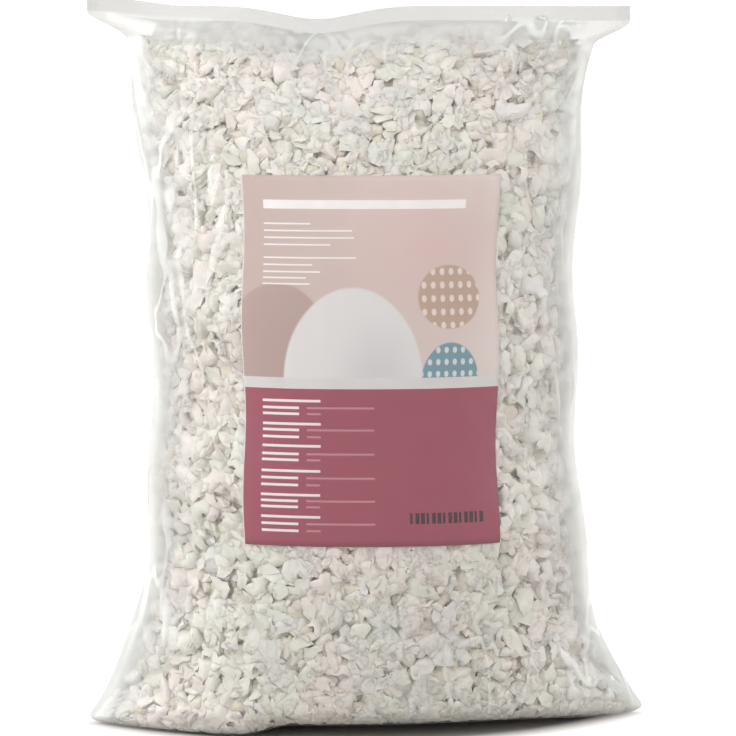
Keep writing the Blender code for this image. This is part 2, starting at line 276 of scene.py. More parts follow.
# Camera, lamps and floor
CAMERA_DISTANCE = 3.2
CAMERA_ELEVATION = math.radians(6)
CAMERA_TARGET = Vector((0.004, 0.0, 0.2917))
CAMERA_LENS = 190.6
LAMP_TARGET = Vector((0, 0, 0.36))
LAMPS = (
    # name, place, side of the square, watts
    ("key", (-2.0, -2.4, 2.2), 3.4, 44),
    ("side", (-2.9, -0.7, 1.3), 3.2, 51),
    ("fill", (3.1, -0.7, 1.2), 3.6, 51),
)
FLOOR_REACH = 400.0
FLOOR_DROP = 0.0002
FLOOR_GLOW = 0.86
FOOTPRINT_RADIUS = 0.281  # of the front and back arcs of the base


def smooth(share):
    share = np.clip(share, 0.0, 1.0)
    return share * share * (3 - 2 * share)


def rounding(height, radius):
    left = 1 - np.clip(height, 0.0, radius) / radius
    return 1 - np.sqrt(np.maximum(0.0, 1 - left**2))


def half_width(height):
    foot = (FOOT_WIDTH - WAIST_WIDTH) / 2 * np.exp(-height / FOOT_FLARE)
    below_shoulder = np.minimum(0.0, height - SHOULDER_HEIGHT)
    shoulder = (SHOULDER_WIDTH - WAIST_WIDTH) / 2 * np.exp(below_shoulder / SHOULDER_FLARE)
    ear = (FLAT_WIDTH - SHOULDER_WIDTH) / 2 * smooth((height - SHOULDER_HEIGHT) / CORNER_DROP)
    undercut = FOOT_TIP_UNDERCUT * rounding(height, FOOT_TIP_HEIGHT)
    return WAIST_WIDTH / 2 + foot + shoulder + ear - undercut


def half_depth(height):
    reach = np.clip(height / WELD_BOTTOM, 0.0, 1.0)
    closing = (1 - reach**DEPTH_TAPER) ** DEPTH_ROUNDING
    foot = (BELLY_DEPTH - BASE_DEPTH) / 2 * np.exp(-height / FOOT_FLARE)
    edge = BASE_EDGE_RADIUS * rounding(height, BASE_EDGE_RADIUS)
    return np.maximum(FILM, BELLY_DEPTH / 2 * closing - foot - edge)


def pinch(height):
    foot = (PINCH_FOOT - PINCH_MIDDLE) * np.exp(-height / FOOT_FLARE)
    top = (PINCH_TOP - PINCH_MIDDLE) * smooth(1 - (WELD_BOTTOM - height) / WELD_WAVE_REACH)
    return PINCH_MIDDLE + foot + top


def section(angle, height, inset_x=0.0, inset_y=0.0):
    """Points of the even bag, moved in from its film by two insets."""
    angle, height = np.broadcast_arrays(np.asarray(angle, float), np.asarray(height, float))
    cosine, sine = np.cos(angle), np.sin(angle)
    depth = np.maximum(0.0, half_depth(height) - inset_y)
    x = (half_width(height) - inset_x) * np.sign(cosine) * np.abs(cosine) ** ROUNDNESS
    y = np.maximum(FILM, depth * np.abs(sine) ** pinch(height))
    y = np.where(np.abs(sine) < 1e-6, 0.0, y * np.sign(sine))
    return np.stack([x, y, height], axis=-1)


def settle(points):
    """Bends the even bag into the way the filled one sits, with its front right edge curled up."""
    x, y, z = points[..., 0], points[..., 1], points[..., 2]
    near_top = smooth(1 - (BAG_HEIGHT - z) / WELD_WAVE_REACH)
    wave = WELD_WAVE * np.sin(2 * math.pi * x / WELD_WAVE_LENGTH)
    dip = WELD_DIP * np.exp(-(((x - WELD_DIP_X) / WELD_DIP_WIDTH) ** 2))
    lift = EAR_LIFT * smooth(1 - (x + FLAT_WIDTH / 2) / EAR_LENGTH)
    side = x / half_width(z)
    dent = SIDE_DENT * np.sin(2 * math.pi * z / SIDE_DENT_LENGTH + side)
    dent = dent * smooth(z / FOOT_FLARE) * smooth((WELD_BOTTOM - z) / CORNER_DROP)
    new_x = x + side * dent + LEAN * (0.5 - z / BAG_HEIGHT)
    new_y = y + near_top * wave
    new_z = z + near_top * (lift - dip)
    to_right = smooth((x - BASE_CURL_START) / BASE_CURL_RUN_RIGHT)
    to_front = smooth(-y / BASE_CURL_RUN_FRONT)
    new_z = new_z + BASE_CURL * to_right * to_front * np.exp(-z / BASE_CURL_REACH)
    turn = FOOT_TWIST * np.exp(-z / FOOT_FLARE)
    cosine, sine = np.cos(turn), np.sin(turn)
    turned = [new_x * cosine - new_y * sine, new_x * sine + new_y * cosine, new_z]
    return np.stack(turned, axis=-1)


def new_material(name):
    material = bpy.data.materials.new(name)
    material.use_nodes = True
    return material, material.node_tree, material.node_tree.nodes["Principled BSDF"]


def math_node(tree, operation, one, other):
    node = tree.nodes.new("ShaderNodeMath")
    node.operation = operation
    tree.links.new(one, node.inputs[0])
    tree.links.new(other, node.inputs[1])
    return node.outputs[0]


def vector_math(tree, operation, one, other=None):
    """A vector node: the other value is a socket, a constant or nothing."""
    node = tree.nodes.new("ShaderNodeVectorMath")
    node.operation = operation
    tree.links.new(one, node.inputs[0])
    if isinstance(other, tuple):
        node.inputs[1].default_value = other
    elif other is not None:
        tree.links.new(other, node.inputs[1])
    return node.outputs["Value" if operation in ("LENGTH", "DISTANCE") else "Vector"]


def map_range(tree, value, before, after=(0.0, 1.0)):
    node = tree.nodes.new("ShaderNodeMapRange")
    node.inputs["From Min"].default_value = before[0]
    node.inputs["From Max"].default_value = before[1]
    node.inputs["To Min"].default_value = after[0]
    node.inputs["To Max"].default_value = after[1]
    tree.links.new(value, node.inputs["Value"])
    return node.outputs["Result"]


def noise(tree, place, scale, detail):
    node = tree.nodes.new("ShaderNodeTexNoise")
    node.inputs["Scale"].default_value = scale
    node.inputs["Detail"].default_value = detail
    tree.links.new(place, node.inputs["Vector"])
    return node


def mesh_object(name, points, faces, smooth_angle=None):
    """A mesh object from an array of points and an array of triangles or quads."""
    mesh = bpy.data.meshes.new(name)
    points = np.asarray(points, dtype=np.float32)
    faces = np.asarray(faces, dtype=np.int32)
    corners = faces.shape[1]
    mesh.vertices.add(len(points))
    mesh.vertices.foreach_set("co", points.ravel())
    mesh.loops.add(faces.size)
    mesh.loops.foreach_set("vertex_index", faces.ravel())
    mesh.polygons.add(len(faces))
    mesh.polygons.foreach_set("loop_start", np.arange(0, faces.size, corners, dtype=np.int32))
    mesh.update(calc_edges=True)
    mesh.validate()
    if smooth_angle is not None:
        mesh.shade_smooth()
        mesh.set_sharp_from_angle(angle=math.radians(smooth_angle))
    piece = bpy.data.objects.new(name, mesh)
    bpy.context.scene.collection.objects.link(piece)
    return piece


# Film
def add_painted_crease_highlights(tree, share, ridges, place):
    """Painted highlight: whitens the film along some of its sharpest creases, as streaks that stand for
    the gloss on its wrinkles.
    """
    nodes, links = tree.nodes, tree.links
    # painted highlight: the film is whitened along the ridges of its crumple noise, off the sheet
    crease_highlight = map_range(tree, ridges, (0.0, 0.018), (0.30, 0.0))
    some = map_range(tree, noise(tree, place, 9, 1).outputs["Fac"], (0.46, 0.62))
    off_sheet = nodes.new("ShaderNodeAttribute")
    off_sheet.attribute_name = "off_sheet"
    more = nodes.new("ShaderNodeMath")
    more.operation = "MULTIPLY_ADD"
    painted_highlight = math_node(tree, "MULTIPLY", crease_highlight, off_sheet.outputs["Fac"])
    links.new(painted_highlight, more.inputs[0])
    links.new(some, more.inputs[1])
    links.new(share, more.inputs[2])
    return more.outputs[0]


def film_material(name, least, most, grey, crumpled, holes=()):
    """Clear film: a grey-white veil that grows from facing to grazing, with a gloss on its wrinkles
    and, where crumpled, painted highlights along its creases.
    """
    material, tree, shader = new_material(name)
    nodes, links = tree.nodes, tree.links
    shader.inputs["Base Color"].default_value = (*grey, 1)
    shader.inputs["Metallic"].default_value = 0.2
    shader.inputs["Roughness"].default_value = 0.20
    clear = nodes.new("ShaderNodeBsdfTransparent")
    facing = nodes.new("ShaderNodeLayerWeight")
    facing.inputs["Blend"].default_value = 0.35
    haze = map_range(tree, facing.outputs["Fresnel"], (0.03, 0.9), (least, most))
    veil = nodes.new("ShaderNodeAttribute")
    veil.attribute_name = "veil"
    share = nodes.new("ShaderNodeMath")
    share.operation = "MULTIPLY_ADD"
    share.inputs[1].default_value = VEIL_SHARE
    place = nodes.new("ShaderNodeTexCoord")
    stretch = nodes.new("ShaderNodeMapping")
    crumple = nodes.new("ShaderNodeTexNoise")
    bump = nodes.new("ShaderNodeBump")
    if crumpled:
        stretch.inputs["Rotation"].default_value = (0.0, math.radians(35), 0.0)
        stretch.inputs["Scale"].default_value = (34, 34, 12)
        crumple.noise_type = "RIDGED_MULTIFRACTAL"
        crumple.inputs["Distortion"].default_value = 0.8
        bump.inputs["Distance"].default_value = 0.0035
    else:
        stretch.inputs["Scale"].default_value = (4, 4, 420)
        bump.inputs["Distance"].default_value = 0.0003
    crumple.inputs["Scale"].default_value = 1
    crumple.inputs["Detail"].default_value = 2
    bump.inputs["Strength"].default_value = 1.0
    links.new(place.outputs["Object"], stretch.inputs["Vector"])
    links.new(stretch.outputs["Vector"], crumple.inputs["Vector"])
    links.new(crumple.outputs["Fac"], bump.inputs["Height"])
    links.new(bump.outputs["Normal"], shader.inputs["Normal"])
    mix = nodes.new("ShaderNodeMixShader")
    links.new(veil.outputs["Fac"], share.inputs[0])
    links.new(haze, share.inputs[2])
    shown = share.outputs[0]
    if crumpled:
        # painted highlights: whitened streaks along the creases
        shown = add_painted_crease_highlights(tree, shown, crumple.outputs["Fac"], place.outputs["Object"])
    for hole in holes:
        beyond = nodes.new("ShaderNodeMath")
        beyond.operation = "GREATER_THAN"
        beyond.inputs[1].default_value = VENT_DIAMETER / 2
        links.new(vector_math(tree, "DISTANCE", place.outputs["Object"], hole), beyond.inputs[0])
        shown = math_node(tree, "MULTIPLY", shown, beyond.outputs[0])
    links.new(shown, mix.inputs["Fac"])
    links.new(clear.outputs["BSDF"], mix.inputs[1])
    links.new(shader.outputs["BSDF"], mix.inputs[2])
    links.new(mix.outputs["Shader"], nodes["Material Output"].inputs["Surface"])
    return material


def corner_places():
    foot = float(half_width(np.array(FOOT_TIP_HEIGHT)))
    shoulder = float(half_width(np.array(SHOULDER_HEIGHT)))
    low, high = FOOT_TIP_HEIGHT, SHOULDER_HEIGHT
    return [(-foot, low, 0.0), (foot, low, 1.0), (-shoulder, high, 2.0), (shoulder, high, 3.0)]


def film_folds(x, height, side):
    """How far folds lift the film: fans at the corners, gathers, puckers along the creases."""
    fans = np.zeros_like(x)
    fine = np.zeros_like(x)
    for corner_x, corner_z, number in corner_places():
        away = np.hypot(x - corner_x, height - corner_z)
        turn = np.arctan2(height - corner_z, x - corner_x)
        near = smooth(1 - away / PLEAT_REACH) * smooth(away / PLEAT_START)
        fans += near * np.cos(PLEAT_COUNT * turn + number + side)
        wide = smooth(1 - away / FINE_FAN_REACH) * smooth(away / FINE_FAN_START)
        for depth, count, by_corner, by_side, twist in FINE_FANS:
            phase = by_corner * number + by_side * side
            fine += depth * wide * np.cos(count * turn + phase + twist * away)
    from_weld = WELD_BOTTOM - height
    gather = smooth(1 - from_weld / GATHER_REACH)
    lift = PLEAT_DEPTH * np.clip(fans, -1, 1) + fine
    lift += GATHER_DEPTH * gather * np.cos(2 * math.pi * x / GATHER_PITCH + side)
    wander = FINE_GATHER_WANDER * np.sin(FINE_GATHER_WANDER_RATE * x)
    fine_gather = np.cos(2 * math.pi * x / FINE_GATHER_PITCH + 2 * side + wander)
    lift += FINE_GATHER_DEPTH * gather * fine_gather
    near_crease = np.exp(-(half_width(height) - np.abs(x)) / PUCKER_REACH)
    hand = np.sign(x)
    for depth, pitch, by_hand, wander, rate in PUCKERS:
        phase = by_hand * hand + wander * np.sin(rate * height)
        lift += depth * near_crease * np.sin(2 * math.pi * height / pitch + phase)
    off_sheet = smooth((np.abs(x - SHEET_CENTRE_X) - SHEET_WIDTH / 2) / SHEET_BLEND + 1)
    beyond = np.maximum(SHEET_BOTTOM - height, height - SHEET_BOTTOM - SHEET_HEIGHT)
    off_sheet = np.maximum(off_sheet, smooth(beyond / SHEET_BLEND + 1))
    off_sheet = np.where(side < 0, off_sheet, 1.0)
    return lift * smooth(height / FOLD_FADE) * smooth(from_weld / FOLD_FADE) * off_sheet


def film_rows():
    """Heights of the film's rows, closer together at the base and at the top."""
    share = np.linspace(0, 1, FILM_UP + 1)
    share = ROW_EVENNESS * share + (1 - ROW_EVENNESS) * (1 - np.cos(math.pi * share)) / 2
    rows = list(WELD_BOTTOM * share)
    rows += [WELD_BOTTOM + WELD_HEIGHT * (step + 1) / WELD_ROWS for step in range(WELD_ROWS)]
    return np.array(rows)


def film_surface():
    """Rows of points of the outer skin of the film."""
    angles = 2 * math.pi * np.arange(FILM_AROUND) / FILM_AROUND
    angle, height = np.meshgrid(angles, film_rows())
    points = section(angle, height)
    side = np.sign(np.sin(angle))
    room = smooth(np.abs(points[..., 1]) / FOLD_FADE)
    points[..., 1] += side * room * film_folds(points[..., 0], height, side)
    return settle(points)


def loft_faces(rows, around):
    """Quads that skin rings of points, each ring closed."""
    i = np.arange(around)
    j = (i + 1) % around
    level = np.arange(rows - 1)[:, None] * around
    faces = np.stack([level + i, level + j, level + around + j, level + around + i], axis=-1)
    return faces.reshape(-1, 4)


def close_ends(piece, rows, around):
    """Zips the first and the last ring of a loft shut, front to back."""
    shape = bmesh.new()
    shape.from_mesh(piece.data)
    shape.verts.ensure_lookup_table()
    for start, flip in ((0, True), ((rows - 1) * around, False)):
        ring = [shape.verts[start + i] for i in range(around)]
        for i in range(around // 2):
            corners = list(dict.fromkeys([ring[i], ring[i + 1], ring[-i - 1], ring[-i]]))
            face = shape.faces.new(corners[::-1] if flip else corners)
            face.material_index = 0 if flip or len(piece.data.materials) < 2 else 1
    shape.to_mesh(piece.data)
    shape.free()


def film_veil():
    """How milky the film is beyond its plain haze: where it lies double, at the creases and the top."""
    angles = 2 * math.pi * np.arange(FILM_AROUND) / FILM_AROUND
    angle, height = np.meshgrid(angles, film_rows())
    to_crease = half_width(height) - np.abs(section(angle, height)[..., 0])
    at_side = np.exp(-np.maximum(0.0, to_crease - SIDE_VEIL_START) / SIDE_VEIL_REACH)
    at_top = TOP_VEIL * smooth(1 - (WELD_BOTTOM - height) / TOP_VEIL_REACH)
    return np.clip(np.maximum(at_side, at_top), 0, 1).ravel()


def film_off_sheet():
    """0 where the film lies on the printed sheet, 1 where it lies on flakes."""
    angles = 2 * math.pi * np.arange(FILM_AROUND) / FILM_AROUND
    angle, height = np.meshgrid(angles, film_rows())
    x = section(angle, height)[..., 0]
    beside = np.abs(x - SHEET_CENTRE_X) - SHEET_WIDTH / 2
    beyond = np.maximum(SHEET_BOTTOM - height, height - SHEET_BOTTOM - SHEET_HEIGHT)
    off = smooth(np.maximum(beside, beyond) / OFF_SHEET_REACH)
    return np.where(np.sin(angle) < 0, off, 1.0).ravel()


def vent_turns(tree):
    """Where the air holes lie on the back film, each with +Z out of the film."""
    turns = []
    for number in range(VENT_COUNT):
        x = (number - (VENT_COUNT - 1) / 2) * VENT_PITCH
        middle, normal, _, _ = tree.ray_cast(Vector((x, 1.0, VENT_HEIGHT)), Vector((0, -1, 0)))
        facing = normal.to_track_quat("Z", "Y").to_matrix().to_4x4()
        turns.append(Matrix.Translation(middle) @ facing)
    return turns


def add_vent_rims(film, turns):
    """The rolled rims of the air holes, as part of the film."""
    shape = bmesh.new()
    shape.from_mesh(film.data)
    for turn in turns:
        rings = []
        for i in range(VENT_RIM_AROUND):
            angle = 2 * math.pi * i / VENT_RIM_AROUND
            ring = []
            for j in range(VENT_RIM_ACROSS):
                tube = 2 * math.pi * j / VENT_RIM_ACROSS
                reach = VENT_DIAMETER / 2 + VENT_RIM * math.cos(tube)
                spot = (reach * math.cos(angle), reach * math.sin(angle), VENT_RIM * math.sin(tube))
                ring.append(shape.verts.new(turn @ Vector(spot)))
            rings.append(ring)
        for i in range(VENT_RIM_AROUND):
            one, other = rings[i], rings[(i + 1) % VENT_RIM_AROUND]
            for j in range(VENT_RIM_ACROSS):
                k = (j + 1) % VENT_RIM_ACROSS
                face = shape.faces.new((one[j], other[j], other[k], one[k]))
                face.material_index = 1
    shape.to_mesh(film.data)
    shape.free()


def make_film():
    """Makes the film and returns its skin, rims left out, for the flakes to be pressed against."""
    grid = film_surface()
    rows, around = grid.shape[:2]
    points, faces = grid.reshape(-1, 3), loft_faces(rows, around)
    film = mesh_object("clear_film_bag", points, faces)
    turns = vent_turns(BVHTree.FromPolygons(points.tolist(), faces.tolist()))
    holes = [tuple(turn.to_translation()) for turn in turns]
    clear = film_material("clear_film", 0.06, 0.40, (0.80, 0.81, 0.79), True, holes)
    film.data.materials.append(clear)
    welded = film_material("welded_film", 0.10, 0.50, (0.70, 0.70, 0.69), False)
    film.data.materials.append(welded)
    in_weld = np.repeat(np.arange(rows - 1) >= rows - 1 - WELD_ROWS, around).astype(np.int32)
    film.data.polygons.foreach_set("material_index", in_weld)
    for name, values in (("veil", film_veil()), ("off_sheet", film_off_sheet())):
        attribute = film.data.attributes.new(name, "FLOAT", "POINT")
        attribute.data.foreach_set("value", values.astype(np.float32))
    close_ends(film, rows, around)
    corners = [tuple(v.co) for v in film.data.vertices]
    skin = BVHTree.FromPolygons(corners, [tuple(p.vertices) for p in film.data.polygons])
    add_vent_rims(film, turns)
    film.data.shade_smooth()
    film.data.set_sharp_from_angle(angle=math.radians(60))
    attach(film, "root")
    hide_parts("film_bag")
    return skin


# Flakes
def foam_material(name, tone_and_painted_shade):
    """Matt torn foam, white to cream, each flake with a tint of its own; the tints are scaled by a
    colour, which for the deep copy is darker and warmer as painted shade.
    """
    material, tree, shader = new_material(name)
    nodes, links = tree.nodes, tree.links
    shader.inputs["Roughness"].default_value = 0.9
    shader.inputs["Specular IOR Level"].default_value = 0.05
    shader.inputs["Subsurface Weight"].default_value = 0.45
    shader.inputs["Subsurface Radius"].default_value = (0.85, 0.92, 1.0)
    shader.inputs["Subsurface Scale"].default_value = 0.0020
    geometry = nodes.new("ShaderNodeNewGeometry")
    tint = nodes.new("ShaderNodeValToRGB")
    elements = tint.color_ramp.elements
    while len(elements) < len(FOAM_TINTS):
        elements.new(0.5)
    for element, (position, colour) in zip(elements, FOAM_TINTS):
        element.position = position
        element.color = (*[channel * share for channel, share in zip(colour, tone_and_painted_shade)], 1)
    links.new(geometry.outputs["Random Per Island"], tint.inputs["Fac"])
    place = nodes.new("ShaderNodeTexCoord")
    patches = noise(tree, place.outputs["Object"], 140, 5)
    shade = map_range(tree, patches.outputs["Fac"], (0.3, 0.7), (0.90, 1.04))
    mix = nodes.new("ShaderNodeVectorMath")
    mix.operation = "SCALE"
    links.new(tint.outputs["Color"], mix.inputs[0])
    links.new(shade, mix.inputs["Scale"])
    cloud = noise(tree, place.outputs["Object"], 16, 1)
    hue = nodes.new("ShaderNodeValToRGB")
    hue.color_ramp.elements[0].position = 0.35
    hue.color_ramp.elements[0].color = (1.015, 0.985, 0.975, 1)
    hue.color_ramp.elements[1].position = 0.62
    hue.color_ramp.elements[1].color = (0.985, 1.0, 0.975, 1)
    links.new(cloud.outputs["Fac"], hue.inputs["Fac"])
    tinted = vector_math(tree, "MULTIPLY", mix.outputs["Vector"], hue.outputs["Color"])
    links.new(tinted, shader.inputs["Base Color"])
    torn = noise(tree, place.outputs["Object"], 330, 5)
    torn.inputs["Roughness"].default_value = 0.6
    bump = nodes.new("ShaderNodeBump")
    bump.inputs["Strength"].default_value = 0.8
    bump.inputs["Distance"].default_value = 0.0010
    links.new(torn.outputs["Fac"], bump.inputs["Height"])
    links.new(bump.outputs["Normal"], shader.inputs["Normal"])
    return material


def chip_template(dice):
    """A torn, curled chip of foam: points in metres and triangles."""
    long, wide = CHIP_ROWS, CHIP_COLUMNS
    length = dice.uniform(*CHIP_LENGTH)
    width = dice.uniform(*CHIP_WIDTH)
    thick = dice.uniform(*CHIP_THICKNESS)
    curl = dice.uniform(*CHIP_CURL) * dice.choice((-1, 1))
    cross_curl = dice.uniform(*CHIP_CROSS_CURL) * dice.choice((-1, 1))
    twist = dice.uniform(-CHIP_TWIST, CHIP_TWIST)
    outline = []
    for i in range(long):
        share = i / (long - 1)
        breadth = width * (0.30 + 0.70 * math.sin(math.pi * (0.12 + 0.76 * share)))
        breadth *= dice.uniform(*CHIP_BREADTH)
        outline.append((share, breadth, dice.uniform(-CHIP_SHIFT, CHIP_SHIFT) * width))
    layers = []
    for level in (-1, 1):
        points = []
        for share, breadth, shift in outline:
            for j in range(wide):
                at_edge = j in (0, wide - 1) or share in (0.0, 1.0)
                left = CHIP_EDGE_THICKNESS if at_edge else 1.0
                x = (share - 0.5) * length + dice.uniform(-CHIP_JITTER_ALONG, CHIP_JITTER_ALONG)
                y = (j / (wide - 1) - 0.5) * breadth + shift + dice.uniform(-CHIP_JITTER, CHIP_JITTER)
                z = level * thick / 2 * left + dice.uniform(-CHIP_JITTER, CHIP_JITTER)
                points.append((x, y, z))
        layers.append(points)
    x, y, z = np.array(layers[0] + layers[1]).T
    turn = twist * x / length
    y, z = y * np.cos(turn) - z * np.sin(turn), y * np.sin(turn) + z * np.cos(turn)
    radius = length / curl
    x, z = (radius + z) * np.sin(x / radius), (radius + z) * np.cos(x / radius) - radius
    radius = width / cross_curl
    y, z = (radius + z) * np.sin(y / radius), (radius + z) * np.cos(y / radius) - radius
    points = np.stack([x, y, z], axis=-1)
    points -= points.mean(axis=0)
    quads = []
    sheet = long * wide
    for i in range(long - 1):
        for j in range(wide - 1):
            a, b = i * wide + j, i * wide + j + 1
            c, d = b + wide, a + wide
            quads.append((a, b, c, d))
            quads.append((sheet + d, sheet + c, sheet + b, sheet + a))
    rim = list(range(wide))
    rim += [i * wide + wide - 1 for i in range(1, long)]
    rim += [(long - 1) * wide + j for j in range(wide - 2, -1, -1)]
    rim += [i * wide for i in range(long - 2, 0, -1)]
    for a, b in zip(rim, rim[1:] + rim[:1]):
        quads.append((b, a, sheet + a, sheet + b))
    triangles = []
    for a, b, c, d in quads:
        if dice.random() < 0.5:
            triangles += [(a, b, c), (a, c, d)]
        else:
            triangles += [(a, b, d), (b, c, d)]
    return points, np.array(triangles)[:, ::-1]


def chunk_template(dice, torn=True):
    """An angular crumb of foam, its faces torn or plain."""
    shape = bmesh.new()
    long, wide, thick = [dice.uniform(*size) for size in CHUNK_SIZES]
    for _ in range(dice.randint(*CHUNK_POINTS)):
        spot = Vector([dice.gauss(0, 1) for _ in range(3)]).normalized() * dice.uniform(*CHUNK_SPREAD)
        shape.verts.new((spot.x * long, spot.y * wide, spot.z * thick))
    hull = bmesh.ops.convex_hull(shape, input=shape.verts)
    bmesh.ops.delete(shape, geom=[v for v in hull["geom_interior"] if v.is_valid], context="VERTS")
    if torn:
        bmesh.ops.subdivide_edges(shape, edges=shape.edges[:], cuts=1, use_grid_fill=True)
        bmesh.ops.triangulate(shape, faces=shape.faces[:])
        for vertex in shape.verts:
            vertex.co += Vector([dice.uniform(-CHUNK_JITTER, CHUNK_JITTER) for _ in range(3)])
    shape.verts.index_update()
    points = np.array([tuple(v.co) for v in shape.verts])
    triangles = np.array([[v.index for v in f.verts] for f in shape.faces])
    shape.free()
    return points, triangles


def random_turns(dice, count, normals, tilt):
    """Rotation matrices that lay flakes against a surface, each tilted by chance."""
    out = np.empty((count, 3, 3))
    for k in range(count):
        normal = Vector(normals[k])
        base = normal.to_track_quat("Z", "Y").to_matrix()
        spin = Matrix.Rotation(dice.uniform(0, 2 * math.pi), 3, "Z")
        lean = Euler((dice.gauss(0, tilt), dice.gauss(0, tilt), 0)).to_matrix()
        flip = Matrix.Rotation(math.pi * dice.randint(0, 1), 3, "X")
        out[k] = np.array(base @ lean @ spin @ flip)
    return out


def surface_places(dice, spacing, depth):
    """Even places just inside the film with their outward normals, all around the bag."""
    fine = np.linspace(0.0, FILL_TOP, PROFILE_STEPS)
    profile = np.stack([half_depth(fine), fine], axis=-1)
    arc = np.concatenate([[0.0], np.cumsum(np.linalg.norm(np.diff(profile, axis=0), axis=1))])
    levels = max(2, int(arc[-1] / spacing))
    angles_fine = np.linspace(0, 2 * math.pi, RING_STEPS + 1)
    places = []
    for level in range(levels):
        height = float(np.interp((level + 0.5) * arc[-1] / levels, arc, fine))
        ring = section(angles_fine, height, SIDE_SLACK)
        length = np.concatenate([[0.0], np.cumsum(np.linalg.norm(np.diff(ring, axis=0), axis=1))])
        count = max(4, int(length[-1] / spacing))
        for k in range(count):
            along = (k + dice.uniform(-PLACE_JITTER, PLACE_JITTER)) % count * length[-1] / count
            angle = float(np.interp(along, length, angles_fine))
            places.append((angle, height + dice.uniform(-PLACE_JITTER, PLACE_JITTER) * spacing))
    places = np.array(places)
    angle, height = places[:, 0], np.clip(places[:, 1], 0.002, FILL_TOP)
    turn, step = 0.01, 0.001
    here = settle(section(angle, height, SIDE_SLACK))
    right = settle(section(angle + turn, height, SIDE_SLACK))
    left = settle(section(angle - turn, height, SIDE_SLACK))
    above = settle(section(angle, height + step, SIDE_SLACK))
    below = settle(section(angle, height - step, SIDE_SLACK))
    normal = np.cross(right - left, above - below)
    normal /= np.linalg.norm(normal, axis=1)[:, None]
    below_ears = height < SHOULDER_HEIGHT - EAR_GAP_HEIGHT
    between_ears = np.abs(here[:, 0]) < SHOULDER_WIDTH / 2 - EAR_GAP_WIDTH
    kept = below_ears | between_ears
    return (here - normal * depth)[kept], normal[kept]


def base_places(dice, spacing, depth):
    """Even places just above the base with their outward normals, straight down."""
    places = []
    x = -BASE_GRID_X
    while x < BASE_GRID_X:
        y = -BASE_GRID_Y
        while y < BASE_GRID_Y:
            px = x + dice.uniform(-BASE_JITTER, BASE_JITTER) * spacing
            py = y + dice.uniform(-BASE_JITTER, BASE_JITTER) * spacing
            along, across = abs(px / BASE_FILL_X), abs(py / BASE_FILL_Y)
            if along**BASE_FILL_POWER_X + across**BASE_FILL_POWER_Y < 1:
                places.append((px, py, depth))
            y += spacing
        x += spacing
    places = settle(np.array(places))
    return places, np.tile([0.0, 0.0, -1.0], (len(places), 1))


def press_inside(points, tree, gap):
    """Squeezes what lies beyond the film, or closer than a gap, back to the inside of it."""
    out = points.copy()
    for k, point in enumerate(points):
        near, normal, _, _ = tree.find_nearest(point)
        room = (near - Vector(point)).dot(normal)
        if room < gap[k]:
            out[k] = near - normal * (gap[k] + RELIEF_KEPT * (gap[k] - room))
    return out


def sheet_gap(points):
    """How far inside the film the flakes stay: more where the printed sheet lies between."""
    beside = np.abs(points[:, 0] - SHEET_CENTRE_X) - SHEET_WIDTH / 2
    beyond = np.maximum(SHEET_BOTTOM - points[:, 2], points[:, 2] - SHEET_BOTTOM - SHEET_HEIGHT)
    behind = (np.maximum(beside, beyond) < SHEET_MARGIN) & (points[:, 1] < 0)
    return np.where(behind, SHEET_GAP, FILM_GAP)


def add_flake_objects(batches, name, tree, material):
    """Makes objects of many flakes each, every one below the limit of triangles."""
    groups, current, count = [], [], 0
    for batch in batches:
        if count + len(batch[1]) > MOST_TRIANGLES:
            groups.append(current)
            current, count = [], 0
        current.append(batch)
        count += len(batch[1])
    groups.append(current)
    for number, group in enumerate(groups):
        offsets = np.cumsum([0] + [len(points) for points, _ in group[:-1]])
        points = np.concatenate([points for points, _ in group])
        triangles = np.concatenate([t + o for (_, t), o in zip(group, offsets)])
        points = press_inside(points, tree, sheet_gap(points))
        piece = mesh_object(f"{name}_{number + 1}", points, triangles, smooth_angle=75)
        piece.data.materials.append(material)
        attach(piece, "root")
        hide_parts("foam_flakes")


def make_flakes(skin, material, painted_shade_material):
    """Makes the layers of flakes under the film, the deep ones plain and in a darker, warmer foam of
    painted shade.
    """
    dice = random.Random(FLAKE_SEED)
    chips = [chip_template(dice) for _ in range(22)]
    chunks = [chunk_template(dice) for _ in range(20)]
    plain = [chunk_template(dice, torn=False) for _ in range(16)]
    layers = [
        # places and normals, tilt, shapes, sizes, deep or not
        (*surface_places(dice, 0.0165, 0.0046), 0.34, chips + chips + chunks, (1.05, 1.95), False),
        (*surface_places(dice, 0.0126, 0.0068), 0.42, chips + chunks, (1.0, 1.7), False),
        (*surface_places(dice, 0.0120, 0.0098), 0.50, plain, (1.2, 1.7), True),
        (*base_places(dice, 0.013, 0.004), 0.3, plain, (1.1, 1.6), True),
    ]
    for deep in (False, True):
        batches = []
        for places, normals, tilt, templates, (small, large), is_deep in layers:
            if is_deep is not deep:
                continue
            turns = random_turns(dice, len(places), normals, tilt)
            for place, turn in zip(places, turns):
                points, triangles = templates[dice.randrange(len(templates))]
                size = dice.uniform(small, large)
                batches.append(((points * size) @ turn.T + place, triangles))
        batches.sort(key=lambda batch: batch[0][:, 2].mean())
        if deep:
            add_flake_objects(batches, "deep_flakes", skin, painted_shade_material)
        else:
            add_flake_objects(batches, "foam_flakes", skin, material)


